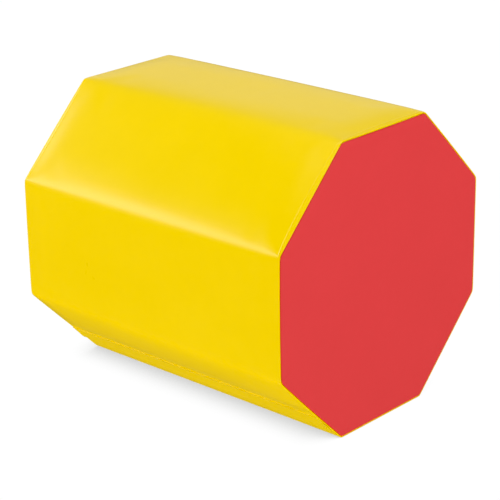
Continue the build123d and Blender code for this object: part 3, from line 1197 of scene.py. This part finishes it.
def floor_material():
    """Glowing white floor: a painted contact shadow for the camera, and for other rays a painted
    glow of set strengths that lights the roller.
    """
    s = Shader("floor_glow_painted_shadow")

    def blend(factor, low, high):
        return s.math("ADD", low, s.math("MULTIPLY", s.math("SUBTRACT", high, low), factor))

    rays = s.add("ShaderNodeLightPath")
    # the painted contact shadow is measured in a direction tilted to the front, and slightly to the
    # left
    tilt = s.add("ShaderNodeCombineXYZ", dict(enumerate(Vector((-0.10, -0.62, 0.78)).normalized())))
    inputs = {"Distance": 0.075, "Normal": tilt.outputs[0]}
    contact = s.add("ShaderNodeAmbientOcclusion", inputs, name="contact", samples=12)
    painted_shadow_ramp = s.add("ShaderNodeValToRGB", {0: contact.outputs["AO"]}, name="painted_shadow_ramp")
    elements = painted_shadow_ramp.color_ramp.elements
    for i, (position, value) in enumerate(PAINTED_SHADOW_STOPS):
        element = elements[i] if i < 2 else elements.new(position)
        element.position = position
        element.color = (value, value, value, 1)
    seen = s.math("MULTIPLY", painted_shadow_ramp.outputs[0], SEEN_WHITE)
    # painted glow: for rays other than the camera's the floor glows and lights the roller from
    # below, weaker in its reflections
    painted_bounce_glow = s.add("ShaderNodeValue", name="painted_bounce_glow")
    painted_bounce_glow.outputs[0].default_value = 1.39
    gloss = s.add("ShaderNodeValue", name="gloss")
    gloss.outputs[0].default_value = 0.045
    unseen = blend(rays.outputs["Is Glossy Ray"], painted_bounce_glow.outputs[0], gloss.outputs[0])
    strength = blend(rays.outputs["Is Camera Ray"], unseen, seen)
    glow = s.add("ShaderNodeEmission")
    # painted bounce light: the floor's glow on the roller is tinted warmer, for what the yellow
    # throws back onto itself
    painted_bounce_tint = s.mix(rays.outputs["Is Camera Ray"], (1.0, 0.955, 0.88, 1), WHITE)
    s.feed(glow.inputs["Color"], painted_bounce_tint)
    s.feed(glow.inputs["Strength"], strength)
    s.add("ShaderNodeOutputMaterial", {0: glow.outputs[0]})
    return s.material


def make_floor():
    mesh = bpy.data.meshes.new("floor")
    corners = [(x * FLOOR_HALF, y * FLOOR_HALF, 0) for x, y in ((-1, -1), (1, -1), (1, 1), (-1, 1))]
    mesh.from_pydata(corners, [], [(0, 1, 2, 3)])
    floor = bpy.data.objects.new("floor", mesh)
    floor.location = (0, 0, FLOOR_Z)
    scene.collection.objects.link(floor)
    mesh.materials.append(floor_material())


def make_world():
    """Soft white light; what the camera sees beyond the floor is as white as the floor."""
    world = bpy.data.worlds.new("studio")
    scene.world = world
    world.use_nodes = True
    tree = world.node_tree
    light = tree.nodes["Background"]
    light.inputs["Color"].default_value = WHITE
    light.inputs["Strength"].default_value = 0.38
    backdrop = tree.nodes.new("ShaderNodeBackground")
    backdrop.inputs["Color"].default_value = WHITE
    backdrop.inputs["Strength"].default_value = SEEN_WHITE
    rays = tree.nodes.new("ShaderNodeLightPath")
    either = tree.nodes.new("ShaderNodeMixShader")
    tree.links.new(rays.outputs["Is Camera Ray"], either.inputs[0])
    tree.links.new(light.outputs[0], either.inputs[1])
    tree.links.new(backdrop.outputs[0], either.inputs[2])
    tree.links.new(either.outputs[0], tree.nodes["World Output"].inputs[0])


LIGHT_TARGET = Vector((0, 0, 0.3))
# name, place from the target, size, power in watts
LIGHTS = [
    ("key_front_left", (-3.6, -2.0, 1.9), (3.2, 2.2), 21),
    ("fill_front_right", (0.8, -4.4, 1.5), (3.0, 2.2), 45),
    ("top", (0.0, 0.0, 3.4), (3.0, 3.0), 59),
    ("back_right", (2.9, 2.65, 1.25), (4.2, 1.5), 5.9),
    ("back_left", (-2.62, 2.55, 1.64), (1.9, 1.25), 32),
    ("back_mid", (0.0, 4.0, 1.3), (3.0, 1.6), 40),
]


def area_light(name, offset, size, power):
    light = bpy.data.lights.new(name, "AREA")
    light.shape = "RECTANGLE"
    light.size, light.size_y = size
    light.energy = power
    ob = bpy.data.objects.new(name, light)
    ob.location = LIGHT_TARGET + Vector(offset)
    aim = LIGHT_TARGET - (LIGHT_TARGET + Vector(offset))
    ob.rotation_euler = aim.to_track_quat("-Z", "Y").to_euler()
    ob.visible_camera = False
    scene.collection.objects.link(ob)
    return ob


CAMERA_PLACE = Vector((-2.575243, -2.366711, 1.586188))
# axis times angle of the turn from world axes to the camera's right, down and forward
CAMERA_TURN = Vector((1.79637483, -0.80612892, 0.53719438))


def make_camera():
    data = bpy.data.cameras.new("camera")
    data.sensor_width = 36.0
    data.lens = 131.37
    data.clip_start, data.clip_end = 0.1, 200.0
    camera = bpy.data.objects.new("camera", data)
    scene.collection.objects.link(camera)
    scene.camera = camera
    camera.rotation_mode = "QUATERNION"
    right, down, forward = Matrix.Rotation(CAMERA_TURN.length, 3, CAMERA_TURN.normalized())
    camera.location = CAMERA_PLACE
    rotation = Matrix((right, -down, -forward)).transposed()
    camera.rotation_quaternion = rotation.to_quaternion()


make_floor()
make_world()
for light_row in LIGHTS:
    last_light = area_light(*light_row)
last_light.visible_diffuse = False      # the one at the middle of the back only adds shine
make_camera()

view = scene.view_settings
view.view_transform = "Standard"
view.look = "None"
view.exposure = 0.0
view.gamma = 1.0
# the strong yellow lies at the rim of what a screen can show: its last trace of blue is clipped
view.use_curve_mapping = True
blue = view.curve_mapping.curves[2]
blue.points[0].location = (0.026, 0.0)
blue.points[1].location = (1.0, 1.0)
view.curve_mapping.update()
